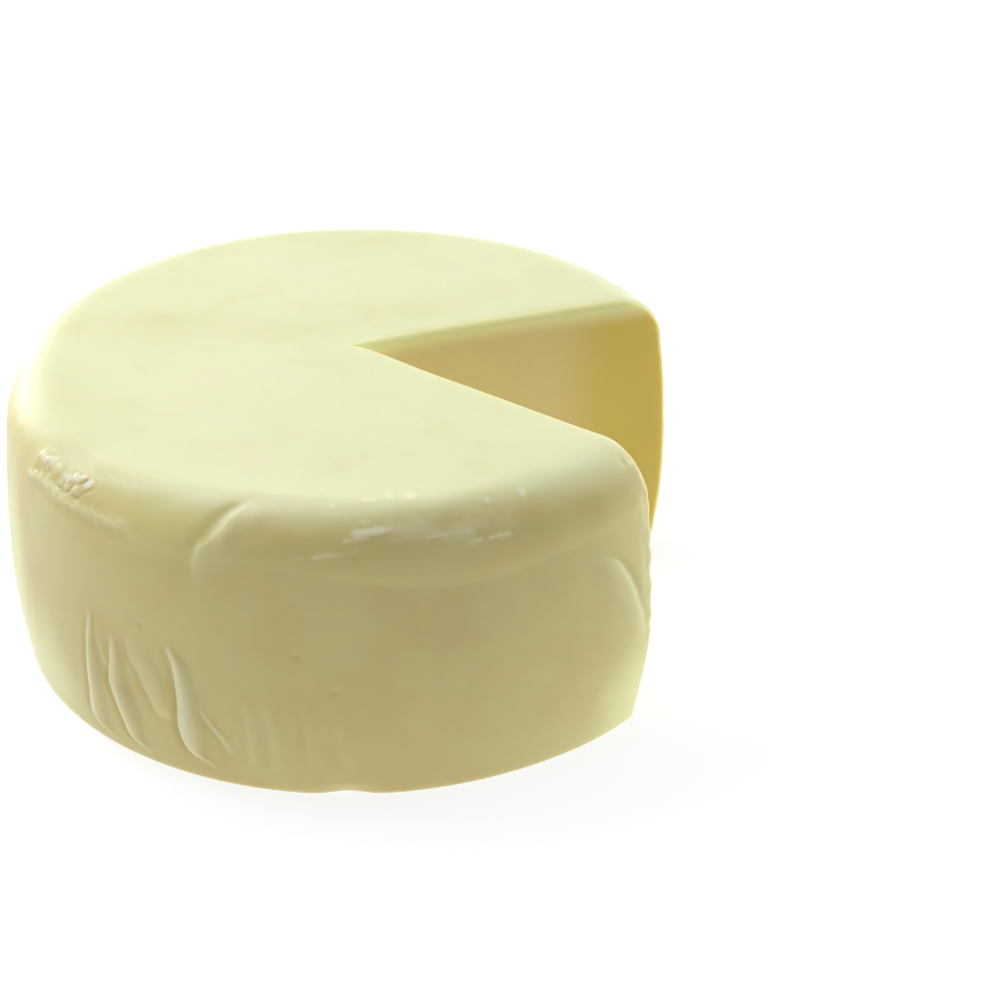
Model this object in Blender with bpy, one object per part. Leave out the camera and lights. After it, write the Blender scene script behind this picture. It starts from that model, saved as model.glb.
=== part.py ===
"""A pale, rindless cheese wheel with a notch cut in to its middle, standing flat on its base.

The wheel is one solid. It is lofted from closed rings, one at each height: a ring runs round the
outside from the far cut to the near cut, in along the near cut to the notch's tip, and back out. The
top and the base are laid out in rays from the tip. Creases and folds, which the cheese cloth pressed
in, are raised and sunk along the surface's own normals.
Azimuths are in degrees about the wheel's axis: the notch is centred on +X, and the creased front is
at about -100.
"""

import math

import bmesh
import bpy
import numpy as np

MM = 0.001

# Whole wheel
HEIGHT = 85.4 * MM
WALL_RADIUS = 100.3 * MM
BELLY = 2.6 * MM            # swell of the side at half its height
FOOT_ROUND = 2.4 * MM       # rounding where the side meets the base
AXIS_X = 5.2 * MM           # places the middle of the cut wheel's box over the origin

# Shoulder, where the top turns down into the side
SHOULDER_WIDTH = 13.8 * MM
SHOULDER_DROP = 13.8 * MM
SHOULDER_CHANGES = (        # azimuth, spread in degrees, change of width and of drop in mm
    (-119.0, 21.0, -2.8, -1.4),     # pressed by the cloth
    (-64.0, 18.0, -5.0, 5.5),       # steep at the front
    (-50.0, 30.0, 4.0, 3.2),        # slumped beside the near cut
    (36.0, 22.0, 3.6, 2.4),         # rounder beside the far cut
    (-166.0, 19.0, 3.6, 2.6),       # and on the side opposite the notch
)

# Flat slant that the cloth pressed into the left shoulder, standing out a little at its lower edge
SLANT_AZIMUTH = -119.0
SLANT_SPREAD = 21.0
ROUND_POWER = 2.0           # a quarter ellipse
SLANT_POWER = 1.35          # nearly straight
SLANT_SWELL = 2.2 * MM
SLANT_SWELL_START = 40.0 * MM
SLANT_SWELL_END = 72.0 * MM

# Wedge-shaped notch
CUT_HEADING = 30.0          # each cut runs this many degrees off +X
TIP_X = -2.4 * MM           # where the two cuts would meet, from the axis
TIP_Y = 4.1 * MM
TIP_PINCH = 6.0 * MM        # the notch is narrower than its cuts' lines over this length
TIP_HOOK = 2.6 * MM         # sideways bend of the notch at its tip
TIP_HOOK_LENGTH = 5.0 * MM
TIP_SLIT = 0.35 * MM        # half the knife's width
EDGE_ROUND_START = 14.0 * MM    # the cuts' edges are fully rounded from here outwards
NEAR_EDGE_ROUND = 0.8 * MM  # along the top of the near cut
FAR_EDGE_ROUND = 3.0 * MM   # along the top of the far cut
CUT_FOOT_ROUND = 1.2 * MM   # along the foot of a cut
CORNER_ROUND = 2.2 * MM     # where a cut comes out through the side
CUT_SWELL = 3.3 * MM        # bulge of the side beside the near cut
CUT_SWELL_SPREAD = 15.0
CUT_SWELL_AT_FOOT = 0.3     # share of it at the base

# Lip under the pressed shoulder
LIP_HEIGHT = 75.0 * MM
LIP_RISE = 0.7 * MM
LIP_HALF_WIDTH = 1.2 * MM
LIP_START = -144.0
LIP_END = -108.0

# Cloth creases and folds: azimuth of the sharp left edge at each height, with the height it rises,
# the width over which it falls off again to the right, and the valley sunk on its left
CREASE = {"azimuths": (-103.0, -102.5, -101.1, -99.5, -97.9, -96.2),
          "heights": (63, 72.5, 75.8, 80, 82.8, 85.2),
          "rise": 1.3, "width": 9.0, "valley": 0.6, "fade": 5.0}
FOLDS = (
    {"azimuths": (-121.5, -124.6, -124.6, -123.5), "heights": (4, 10, 24, 46),
     "rise": 1.3, "width": 2.4, "valley": 0.5, "fade": 16.0},
    {"azimuths": (-113.8, -117.3, -119.0, -119.0), "heights": (5, 12, 22, 42),
     "rise": 1.5, "width": 3.6, "valley": 0.9, "fade": 16.0},
    {"azimuths": (-111.5, -112.8, -115.0), "heights": (14, 25, 40),
     "rise": 0.6, "width": 5.0, "valley": 0.3, "fade": 12.0},
    {"azimuths": (-102.3, -106.3, -106.6, -108.2), "heights": (6, 13, 26, 47),
     "rise": 1.9, "width": 5.2, "valley": 1.0, "fade": 16.0},
    {"azimuths": (-98.4, -101.2), "heights": (7, 30),
     "rise": 0.6, "width": 3.2, "valley": 0.3, "fade": 10.0},
    {"azimuths": (-93.2, -96.2), "heights": (9, 38),
     "rise": 0.6, "width": 4.2, "valley": 0.3, "fade": 12.0},
    {"azimuths": (-88.8, -92.6), "heights": (9, 36),
     "rise": 0.5, "width": 4.6, "valley": 0.3, "fade": 12.0},
    {"azimuths": (-28.0, -31.0, -33.6, -37.5), "heights": (28, 45, 53, 64),
     "rise": 0.6, "width": 2.6, "valley": 0.4, "fade": 8.0},
)
FOLD_EDGE = 0.9 * MM        # width of a fold's sharp edge

# A broad shallow dent in the left shoulder
DENT_AZIMUTH = -129.3
DENT_RADIUS = 93.6 * MM
DENT_SIZE = 6.5 * MM
DENT_DEPTH = 0.9 * MM

# Unevenness of the whole surface
WAVE_DEPTH = 0.35 * MM

# Fineness of the mesh
PLAIN_STEP = 6.0            # degrees between columns on the plain side
CREASED_STEP = 1.15         # and among the folds
CREASED_SPAN = (-128.0, -88.0)
NEAR_CUT_STEP = 2.2
NEAR_CUT_SPAN = (-46.0, -27.0)
STEP_BLEND = 14.0
CUT_COLUMNS = 9
CORNER_COLUMNS = 2
WALL_STEP = 4.2 * MM
SHOULDER_BAND = 20.0 * MM
SHOULDER_LEVELS = 12

CHEESE_COLOUR = (0.80, 0.76, 0.50, 1.0)
CHEESE_ROUGHNESS = 0.42


def smooth_step(low, high, value):
    """0 below low, 1 above high, and an even S between them."""
    t = np.clip((value - low) / (high - low), 0.0, 1.0)
    return t * t * (3.0 - 2.0 * t)


def bump(azimuth, centre, spread):
    """A bell of height 1 about an azimuth."""
    turn = (azimuth - centre + 180.0) % 360.0 - 180.0
    return np.exp(-((turn / spread) ** 2))


def round_off(size, depth):
    """How far a quarter round of this size stands back at a depth into it."""
    return size - np.sqrt(size**2 - np.clip(depth, 0.0, size) ** 2)


def wall_radius(azimuth, z):
    """Radius of the uncut wheel at an azimuth and a height: foot, side and shoulder."""
    width, drop = SHOULDER_WIDTH, SHOULDER_DROP
    for centre, spread, wider, deeper in SHOULDER_CHANGES:
        share = bump(azimuth, centre, spread)
        width = width + wider * MM * share
        drop = drop + deeper * MM * share
    swell = CUT_SWELL * bump(azimuth, -CUT_HEADING, CUT_SWELL_SPREAD)
    rise = smooth_step(0.0, 0.4 * HEIGHT, z)
    swell = swell * (CUT_SWELL_AT_FOOT + (1.0 - CUT_SWELL_AT_FOOT) * rise)

    slant = bump(azimuth, SLANT_AZIMUTH, SLANT_SPREAD)
    power = ROUND_POWER + (SLANT_POWER - ROUND_POWER) * slant
    swell = swell + SLANT_SWELL * slant * smooth_step(SLANT_SWELL_START, SLANT_SWELL_END, z)

    side = np.clip((z - FOOT_ROUND) / (HEIGHT - drop - FOOT_ROUND), 0.0, 1.0)
    radius = WALL_RADIUS + 4.0 * side * (1.0 - side) * BELLY + swell
    radius = radius - round_off(FOOT_ROUND, FOOT_ROUND - z)
    up = np.clip((z - (HEIGHT - drop)) / drop, 0.0, 1.0)
    return radius - width + width * (1.0 - up**power) ** (1.0 / power)


def cut_inset(side, z):
    """How far a cut's face stands back at a height, for the rounding of its top and foot."""
    edge_round = FAR_EDGE_ROUND if side > 0 else NEAR_EDGE_ROUND
    top = round_off(edge_round, z - (HEIGHT - edge_round))
    return top + round_off(CUT_FOOT_ROUND, CUT_FOOT_ROUND - z)


def corner(side, z):
    """Centre of the rounding between the outside and a cut, and how far along the cut it is."""
    heading = math.radians(side * CUT_HEADING)
    along = np.array([math.cos(heading), math.sin(heading)])
    into = np.array([-math.sin(heading), math.cos(heading)]) * side
    base = np.array([TIP_X, TIP_Y]) + into * (cut_inset(side, z) + CORNER_ROUND)
    reach = float(wall_radius(side * CUT_HEADING, z)) - CORNER_ROUND
    run = -base @ along + math.sqrt((base @ along) ** 2 - base @ base + reach**2)
    return base + along * run, run


def corner_arc(side, centre):
    """Points round a corner, from the outside to the cut."""
    start = math.atan2(centre[1], centre[0])
    end = math.radians(side * (CUT_HEADING - 90.0))
    turn = (end - start + math.pi) % (2.0 * math.pi) - math.pi
    angles = start + turn * np.linspace(0.0, 1.0, CORNER_COLUMNS + 2)
    return centre + CORNER_ROUND * np.stack([np.cos(angles), np.sin(angles)], axis=1)


def cut_curve(side, run, z):
    """Points along a cut from its corner in to the tip, where the notch pinches and hooks."""
    x = run * np.linspace(1.0, 0.0, CUT_COLUMNS + 1) ** 1.8
    slope = math.tan(math.radians(CUT_HEADING)) * math.cos(math.radians(CUT_HEADING))
    half = TIP_SLIT + slope * x * (1.0 - np.exp(-x / TIP_PINCH)) - TIP_SLIT * (x / run)
    along = x * math.cos(math.radians(CUT_HEADING))
    hook = TIP_HOOK * np.exp(-along / TIP_HOOK_LENGTH)
    line = np.stack([TIP_X + along, TIP_Y - hook + side * half], axis=1)
    tangent = np.gradient(line, axis=0)
    tangent /= np.linalg.norm(tangent, axis=1)[:, None]
    normal = np.stack([tangent[:, 1], -tangent[:, 0]], axis=1) * side
    inset = cut_inset(side, z) * smooth_step(0.0, EDGE_ROUND_START, x)
    return line + normal * inset[:, None]


def spaced_azimuths(start, stop):
    """Azimuths from start to stop, closer together where the side is creased."""
    def step_at(azimuth):
        azimuth = (azimuth + 180.0) % 360.0 - 180.0
        step = PLAIN_STEP
        for (low, high), fine in ((CREASED_SPAN, CREASED_STEP), (NEAR_CUT_SPAN, NEAR_CUT_STEP)):
            away = max(low - azimuth, azimuth - high, 0.0)
            step = min(step, fine + (PLAIN_STEP - fine) * away / STEP_BLEND)
        return step

    marks = [start]
    while marks[-1] < stop:
        marks.append(marks[-1] + step_at(marks[-1]))
    marks = np.array(marks)
    return (marks - start) / (marks[-1] - start)


ARC_SHARES = spaced_azimuths(CUT_HEADING, 360.0 - CUT_HEADING)


def ring(z):
    """The closed outline of the cut wheel at a height, counter-clockwise from the far cut."""
    far_centre, far_run = corner(1, z)
    near_centre, near_run = corner(-1, z)
    start = math.degrees(math.atan2(far_centre[1], far_centre[0]))
    stop = math.degrees(math.atan2(near_centre[1], near_centre[0])) + 360.0
    azimuths = start + (stop - start) * ARC_SHARES
    radii = wall_radius(azimuths, z)
    angles = np.radians(azimuths)
    arc = np.stack([radii * np.cos(angles), radii * np.sin(angles)], axis=1)
    parts = [
        corner_arc(1, far_centre)[::-1],
        arc[1:-1],
        corner_arc(-1, near_centre),
        cut_curve(-1, near_run, z)[1:],
        cut_curve(1, far_run, z)[::-1][:-1],
    ]
    points = np.concatenate(parts)
    return np.column_stack([points, np.full(len(points), z)])


def levels():
    """Heights of the rings: foot, side, then closer and closer up the shoulder."""
    foot = [FOOT_ROUND * (1.0 - math.cos(t)) for t in np.linspace(0.0, math.pi / 2, 4)]
    wall_top = HEIGHT - SHOULDER_BAND
    count = round((wall_top - FOOT_ROUND) / WALL_STEP)
    wall = np.linspace(FOOT_ROUND, wall_top, count + 1)[1:]
    rise = np.sin(np.linspace(0.0, math.pi / 2, SHOULDER_LEVELS + 1)[1:])
    return [*foot, *wall, *(wall_top + SHOULDER_BAND * rise)]


def lateral(azimuth, z, fold):
    """Distance along the side from a fold's sharp edge, positive to its right."""
    heights = np.array(fold["heights"]) * MM
    edge = np.interp(z, heights, fold["azimuths"])
    turn = (azimuth - edge + 180.0) % 360.0 - 180.0
    return np.radians(turn) * WALL_RADIUS


def fold_relief(azimuth, z, fold):
    """Rise of one fold: a sharp left edge, a slope to the right and a valley to the left."""
    s = lateral(azimuth, z, fold)
    width = fold["width"] * MM
    back = np.exp(-((np.maximum(s, 0.0) / width) ** 2))
    rise = fold["rise"] * MM * smooth_step(-FOLD_EDGE, FOLD_EDGE, s) * back
    sunk = fold["valley"] * MM * np.exp(-(((s + width / 2) / (width / 2)) ** 2))
    low, high = fold["heights"][0] * MM, fold["heights"][-1] * MM
    fade = fold["fade"] * MM
    ends = smooth_step(low - 2 * MM, low + 3 * MM, z) * (1.0 - smooth_step(high - fade, high, z))
    return (rise - sunk) * ends


def relief(points):
    """Height of the surface over the plain wheel at each point."""
    x, y, z = points.T
    azimuth = np.degrees(np.arctan2(y, x))
    radius = np.hypot(x, y)
    outside = smooth_step(0.8 * WALL_RADIUS, 0.88 * WALL_RADIUS, radius)
    height = np.zeros(len(points))
    for fold in FOLDS:
        height += fold_relief(azimuth, z, fold) * outside

    crease = fold_relief(azimuth, z, CREASE) * outside
    height += crease * (1.0 - smooth_step(HEIGHT - 1.2 * MM, HEIGHT - 0.2 * MM, z))

    ends = smooth_step(LIP_START, LIP_START + 10.0, azimuth)
    ends = ends * (1.0 - smooth_step(LIP_END - 12.0, LIP_END, azimuth))
    height += LIP_RISE * ends * np.exp(-(((z - LIP_HEIGHT) / LIP_HALF_WIDTH) ** 2)) * outside

    angle = math.radians(DENT_AZIMUTH)
    away = np.hypot(x - DENT_RADIUS * math.cos(angle), y - DENT_RADIUS * math.sin(angle))
    height -= DENT_DEPTH * np.exp(-((away / DENT_SIZE) ** 2)) * smooth_step(0.8, 1.0, z / HEIGHT)

    turn = np.radians(azimuth)
    wave = np.sin(3.0 * turn + 0.7) + 0.8 * np.sin(5.0 * turn + 40.0 * z) + 0.6 * np.sin(90.0 * z)
    height += WAVE_DEPTH * 0.5 * wave * outside
    return height * smooth_step(0.0, 4.0 * MM, z)


def split_ring(ring_items):
    """A ring's rim from the far cut to the near cut, and both cuts from the tip out to the rim."""
    rim = ring_items[: -2 * CUT_COLUMNS]
    near_cut = [*ring_items[-2 * CUT_COLUMNS : -CUT_COLUMNS][::-1], rim[-1]]
    far_cut = [*ring_items[-CUT_COLUMNS:], rim[0]]
    return rim, near_cut, far_cut


def ray_rows(points):
    """Rows of points inside a ring, from the notch's tip outwards, each from cut to cut."""
    rim, near_cut, far_cut = (np.array(part) for part in split_ring(points))
    tip = (near_cut[0] + far_cut[0]) / 2.0

    def reach_and_turn(places):
        away = places - tip
        return np.hypot(away[:, 0], away[:, 1]), np.arctan2(away[:, 1], away[:, 0]) % (2.0 * math.pi)

    rim_reach, rim_turn = reach_and_turn(rim)
    near_reach, near_turn = reach_and_turn(near_cut)
    far_reach, far_turn = reach_and_turn(far_cut)
    share = (rim_turn - rim_turn[0]) / (rim_turn[-1] - rim_turn[0])
    rows = []
    for k in range(1, CUT_COLUMNS):
        turn = far_turn[k] + share * (near_turn[k] - far_turn[k])
        far_share, near_share = far_reach[k] / far_reach[-1], near_reach[k] / near_reach[-1]
        reach = rim_reach * (far_share + share * (near_share - far_share))
        row = tip + np.column_stack([reach * np.cos(turn), reach * np.sin(turn), np.zeros(len(rim))])
        rows.append(row[1:-1])
    return rows


def fill_ring(mesh, loop, points, upward):
    """Fills a ring of vertices with faces, in rays from the notch's tip."""
    rim, near_cut, far_cut = split_ring(loop)
    rows = [[mesh.verts.new(point) for point in row] for row in ray_rows(points)]
    rows = [[far, *row, near] for far, row, near in zip(far_cut[1:], rows, near_cut[1:])]
    rows.append(rim)
    faces = []
    middle = len(rim) // 2
    for i in range(len(rim) - 1):
        tip = far_cut[0] if i < middle else near_cut[0]
        faces.append((tip, rows[0][i], rows[0][i + 1]))
    faces.append((far_cut[0], rows[0][middle], near_cut[0]))
    for inner, outer in zip(rows, rows[1:]):
        for i in range(len(rim) - 1):
            faces.append((inner[i], outer[i], outer[i + 1], inner[i + 1]))
    for face in faces:
        mesh.faces.new(face if upward else face[::-1])


def lofted_wheel():
    """The closed mesh: rings bridged from the base up, with both ends filled."""
    rings = [ring(z) for z in levels()]
    mesh = bmesh.new()
    loops = [[mesh.verts.new(point) for point in points] for points in rings]
    columns = len(loops[0])
    for lower, upper in zip(loops, loops[1:]):
        for i in range(columns):
            j = (i + 1) % columns
            mesh.faces.new((lower[i], lower[j], upper[j], upper[i]))
    fill_ring(mesh, loops[0], rings[0], upward=False)
    fill_ring(mesh, loops[-1], rings[-1], upward=True)
    return mesh


def pressed_surface(mesh):
    """Raises and sinks the creases and folds along the surface's normals."""
    mesh.normal_update()
    points = np.array([vert.co for vert in mesh.verts])
    for vert, height in zip(mesh.verts, relief(points)):
        vert.co += vert.normal * float(height)


def cheese_material():
    """Pale cream cheese with a soft shine."""
    material = bpy.data.materials.new("pale_cheese")
    material.use_nodes = True
    shader = material.node_tree.nodes["Principled BSDF"]
    shader.inputs["Base Color"].default_value = CHEESE_COLOUR
    shader.inputs["Roughness"].default_value = CHEESE_ROUGHNESS
    shader.inputs["Metallic"].default_value = 0.0
    return material


def build():
    """Makes the wheel and stands it on the origin."""
    for old in list(bpy.data.objects):
        bpy.data.objects.remove(old)
    shape = lofted_wheel()
    pressed_surface(shape)
    bmesh.ops.triangulate(shape, faces=shape.faces[:])
    data = bpy.data.meshes.new("cheese_wheel")
    shape.to_mesh(data)
    shape.free()
    data.shade_smooth()
    data.materials.append(cheese_material())
    wheel = bpy.data.objects.new("cheese_wheel", data)
    wheel.location = (AXIS_X, 0.0, 0.0)
    bpy.context.scene.collection.objects.link(wheel)


build()
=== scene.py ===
import math

import bpy
import numpy as np
from mathutils import Matrix, Vector


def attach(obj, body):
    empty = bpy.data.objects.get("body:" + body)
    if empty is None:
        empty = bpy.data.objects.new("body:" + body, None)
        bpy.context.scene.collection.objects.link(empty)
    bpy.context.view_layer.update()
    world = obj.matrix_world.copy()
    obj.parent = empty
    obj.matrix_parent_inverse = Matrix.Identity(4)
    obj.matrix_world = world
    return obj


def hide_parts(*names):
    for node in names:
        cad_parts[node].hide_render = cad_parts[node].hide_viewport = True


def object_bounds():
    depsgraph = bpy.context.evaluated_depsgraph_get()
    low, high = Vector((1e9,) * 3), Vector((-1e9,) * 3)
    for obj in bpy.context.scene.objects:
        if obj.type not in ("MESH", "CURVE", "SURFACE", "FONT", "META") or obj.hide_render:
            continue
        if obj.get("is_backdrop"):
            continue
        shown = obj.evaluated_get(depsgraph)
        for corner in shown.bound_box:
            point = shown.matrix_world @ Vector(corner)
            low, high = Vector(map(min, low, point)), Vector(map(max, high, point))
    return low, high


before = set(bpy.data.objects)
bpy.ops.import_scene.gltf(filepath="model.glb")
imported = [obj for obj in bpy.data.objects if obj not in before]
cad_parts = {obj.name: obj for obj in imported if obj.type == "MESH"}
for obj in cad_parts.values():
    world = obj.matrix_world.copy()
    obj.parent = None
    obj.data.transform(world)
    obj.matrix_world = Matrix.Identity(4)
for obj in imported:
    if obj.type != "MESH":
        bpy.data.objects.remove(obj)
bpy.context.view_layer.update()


# The wheel
#
# A young white cheese, moulded and pressed in cloth, standing on its flat base. It is one piece of
# cheese with no rind, and has a notch of 60 degrees, cut in from the rim to the middle. Azimuths are
# in degrees about the wheel's own axis: the notch is centred on +X, the creased front is at about -100.

MM = 0.001
HEIGHT = 85.4 * MM
WALL_RADIUS = 100.3 * MM
BELLY = 2.6 * MM
FOOT_ROUND = 2.4 * MM
AXIS_X = 5.2 * MM

SHOULDER_WIDTH = 13.8 * MM
SHOULDER_DROP = 13.8 * MM
SHOULDER_CHANGES = (        # azimuth, spread in degrees, change of width and of drop in mm
    (-119.0, 21.0, -2.8, -1.4),     # pressed by the cloth
    (-64.0, 18.0, -5.0, 5.5),       # steep at the front
    (-50.0, 30.0, 4.0, 3.2),        # slumped beside the near cut
    (36.0, 22.0, 3.6, 2.4),         # rounder beside the far cut
    (-166.0, 19.0, 3.6, 2.6),       # and on the side opposite the notch
)
SLANT_AZIMUTH = -119.0      # a flat slant that the cloth pressed into the left shoulder
SLANT_SPREAD = 21.0
ROUND_POWER = 2.0           # a quarter ellipse
SLANT_POWER = 1.35          # nearly straight
SLANT_SWELL = 2.2 * MM      # how far the slant's lower edge stands out
SLANT_SWELL_START = 40.0 * MM
SLANT_SWELL_END = 72.0 * MM
CUT_HEADING = 30.0          # each of the notch's cuts runs this many degrees off +X
CUT_SWELL = 3.3 * MM        # bulge of the side beside the near cut
CUT_SWELL_SPREAD = 15.0
CUT_SWELL_AT_FOOT = 0.3
CUT_SWELL_FULL = 0.4 * HEIGHT


def smooth_step(low, high, value):
    """0 below low, 1 above high, and an even S between them."""
    t = np.clip((value - low) / (high - low), 0.0, 1.0)
    return t * t * (3.0 - 2.0 * t)


def window(low, high, soft, value):
    """1 from low to high, falling to 0 over a soft margin outside them."""
    return smooth_step(low - soft, low, value) * (1.0 - smooth_step(high, high + soft, value))


def turned(azimuth, centre):
    """Degrees from one azimuth to another, from -180 to 180."""
    return (azimuth - centre + 180.0) % 360.0 - 180.0


def bell(value):
    """A bell of height 1 about 0."""
    return np.exp(-(value**2))


def round_off(size, depth):
    """How far a quarter round of this size stands back at a depth into it."""
    return size - np.sqrt(size**2 - np.clip(depth, 0.0, size) ** 2)


def wall_radius(azimuth, z):
    """Radius of the uncut wheel at an azimuth and a height: foot, side and shoulder."""
    width, drop = SHOULDER_WIDTH, SHOULDER_DROP
    for centre, spread, wider, deeper in SHOULDER_CHANGES:
        share = bell(turned(azimuth, centre) / spread)
        width = width + wider * MM * share
        drop = drop + deeper * MM * share
    swell = CUT_SWELL * bell(turned(azimuth, -CUT_HEADING) / CUT_SWELL_SPREAD)
    rise = smooth_step(0.0, CUT_SWELL_FULL, z)
    swell = swell * (CUT_SWELL_AT_FOOT + (1.0 - CUT_SWELL_AT_FOOT) * rise)
    slant = bell(turned(azimuth, SLANT_AZIMUTH) / SLANT_SPREAD)
    power = ROUND_POWER + (SLANT_POWER - ROUND_POWER) * slant
    swell = swell + SLANT_SWELL * slant * smooth_step(SLANT_SWELL_START, SLANT_SWELL_END, z)
    side = np.clip((z - FOOT_ROUND) / (HEIGHT - drop - FOOT_ROUND), 0.0, 1.0)
    radius = WALL_RADIUS + 4.0 * side * (1.0 - side) * BELLY + swell
    radius = radius - round_off(FOOT_ROUND, FOOT_ROUND - z)
    up = np.clip((z - (HEIGHT - drop)) / drop, 0.0, 1.0)
    return radius - width + width * (1.0 - up**power) ** (1.0 / power)


# The wheel's notch
#
# Two cuts, made from the rim to the middle with a long knife. They pinch together where the blade's
# point turned, the top edge of the near cut is crisp, and that of the far cut is rubbed round.

TIP_X = -2.4 * MM
TIP_Y = 4.1 * MM
TIP_PINCH = 6.0 * MM
TIP_HOOK = 2.6 * MM
TIP_HOOK_LENGTH = 5.0 * MM
TIP_SLIT = 0.2 * MM         # half the width of the slit that stays open at the tip
EDGE_ROUND_START = 14.0 * MM    # the cuts' edges are fully rounded from here outwards
NEAR_EDGE_ROUND = 0.8 * MM
FAR_EDGE_ROUND = 3.0 * MM
CUT_FOOT_ROUND = 1.2 * MM
CORNER_ROUND = 2.2 * MM
CUT_COLUMNS = 34
CUT_CROWDING = 1.5          # brings these columns closer together towards the tip
CORNER_COLUMNS = 7


def cut_inset(side, z):
    """How far a cut's face stands back at a height, for the rounding of its top and foot."""
    edge_round = FAR_EDGE_ROUND if side > 0 else NEAR_EDGE_ROUND
    top = round_off(edge_round, z - (HEIGHT - edge_round))
    return top + round_off(CUT_FOOT_ROUND, CUT_FOOT_ROUND - z)


def corner(side, z):
    """Centre of the rounding between the outside and a cut, and how far along the cut it is."""
    heading = math.radians(side * CUT_HEADING)
    along = np.array([math.cos(heading), math.sin(heading)])
    into = np.array([-math.sin(heading), math.cos(heading)]) * side
    base = np.array([TIP_X, TIP_Y]) + into * (cut_inset(side, z) + CORNER_ROUND)
    reach = float(wall_radius(side * CUT_HEADING, z)) - CORNER_ROUND
    run = -base @ along + math.sqrt((base @ along) ** 2 - base @ base + reach**2)
    return base + along * run, run


def corner_arc(side, centre):
    """Points round a corner, from the outside to the cut."""
    start = math.atan2(centre[1], centre[0])
    end = math.radians(side * (CUT_HEADING - 90.0))
    turn = (end - start + math.pi) % (2.0 * math.pi) - math.pi
    angles = start + turn * np.linspace(0.0, 1.0, CORNER_COLUMNS + 2)
    return centre + CORNER_ROUND * np.stack([np.cos(angles), np.sin(angles)], axis=1)


def cut_curve(side, run, z):
    """Points along a cut from its corner in to the tip, where the notch pinches and hooks."""
    heading = math.radians(CUT_HEADING)
    x = run * np.linspace(1.0, 0.0, CUT_COLUMNS + 1) ** CUT_CROWDING
    half = TIP_SLIT + math.sin(heading) * x * (1.0 - np.exp(-x / TIP_PINCH)) - TIP_SLIT * (x / run)
    along = x * math.cos(heading)
    hook = TIP_HOOK * np.exp(-along / TIP_HOOK_LENGTH)
    line = np.stack([TIP_X + along, TIP_Y - hook + side * half], axis=1)
    tangent = np.gradient(line, axis=0)
    tangent /= np.linalg.norm(tangent, axis=1)[:, None]
    normal = np.stack([tangent[:, 1], -tangent[:, 0]], axis=1) * side
    inset = cut_inset(side, z) * smooth_step(0.0, EDGE_ROUND_START, x)
    return line + normal * inset[:, None]


# The wheel's skin
#
# The pressed surface is laid out as rings, one at each height, from the base up over the shoulder,
# closest where the cloth left its marks. The top is laid out in rays from the notch's tip.

PLAIN_STEP = 1.35           # degrees between columns at the back
MARKED_SPANS = (            # from azimuth, to azimuth, degrees between columns
    (-150.0, -27.0, 0.45),
    (-141.0, -99.0, 0.25),
)
STEP_BLEND = 22.0
FOOT_LEVELS = 7
WALL_STEP = 0.95 * MM
SHOULDER_BAND = 20.0 * MM
SHOULDER_LEVELS = 42
MARKED_RADII = (0.8 * WALL_RADIUS, 0.88 * WALL_RADIUS)      # the side's marks begin across these


def column_shares(start, stop):
    """Shares of the way round at which columns stand, closer together where the skin is marked."""
    marks = [start]
    while marks[-1] < stop:
        here = turned(marks[-1], 0.0)
        step = PLAIN_STEP
        for low, high, fine in MARKED_SPANS:
            away = max(low - here, here - high, 0.0)
            step = min(step, fine + (PLAIN_STEP - fine) * away / STEP_BLEND)
        marks.append(marks[-1] + step)
    marks = np.array(marks)
    return (marks - start) / (marks[-1] - start)


shares = column_shares(CUT_HEADING, 360.0 - CUT_HEADING)


def ring(z):
    """The closed outline of the cut wheel at a height, counter-clockwise from the far cut."""
    far_centre, far_run = corner(1, z)
    near_centre, near_run = corner(-1, z)
    start = math.degrees(math.atan2(far_centre[1], far_centre[0]))
    stop = math.degrees(math.atan2(near_centre[1], near_centre[0])) + 360.0
    azimuths = start + (stop - start) * shares
    radii = wall_radius(azimuths, z)
    angles = np.radians(azimuths)
    arc = np.stack([radii * np.cos(angles), radii * np.sin(angles)], axis=1)
    parts = [
        corner_arc(1, far_centre)[::-1],
        arc[1:-1],
        corner_arc(-1, near_centre),
        cut_curve(-1, near_run, z)[1:],
        cut_curve(1, far_run, z)[::-1][:-1],
    ]
    points = np.concatenate(parts)
    return np.column_stack([points, np.full(len(points), z)])


foot = FOOT_ROUND * (1.0 - np.cos(np.linspace(0.0, math.pi / 2, FOOT_LEVELS)))
wall_top = HEIGHT - SHOULDER_BAND
wall = np.linspace(FOOT_ROUND, wall_top, round((wall_top - FOOT_ROUND) / WALL_STEP) + 1)[1:]
shoulder = wall_top + SHOULDER_BAND * np.sin(np.linspace(0.0, math.pi / 2, SHOULDER_LEVELS + 1)[1:])
rings = [ring(z) for z in (*foot, *wall, *shoulder)]

columns = len(rings[0])
points = np.concatenate(rings)
faces = []
for level in range(len(rings) - 1):
    here = level * columns + np.arange(columns)
    beside = level * columns + (np.arange(columns) + 1) % columns
    faces += np.stack([here, beside, beside + columns, here + columns], axis=1).tolist()
faces.append(list(range(columns))[::-1])        # the flat base


def split_ring(ring_items):
    """A ring's rim from the far cut to the near cut, and both cuts from the tip out to the rim."""
    rim = ring_items[: -2 * CUT_COLUMNS]
    near_cut = [*ring_items[-2 * CUT_COLUMNS : -CUT_COLUMNS][::-1], rim[-1]]
    far_cut = [*ring_items[-CUT_COLUMNS:], rim[0]]
    return rim, near_cut, far_cut


def reach_and_turn(places, tip):
    """Distance and angle of places about the notch's tip."""
    away = places - tip
    return np.hypot(away[:, 0], away[:, 1]), np.arctan2(away[:, 1], away[:, 0]) % (2.0 * math.pi)


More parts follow.
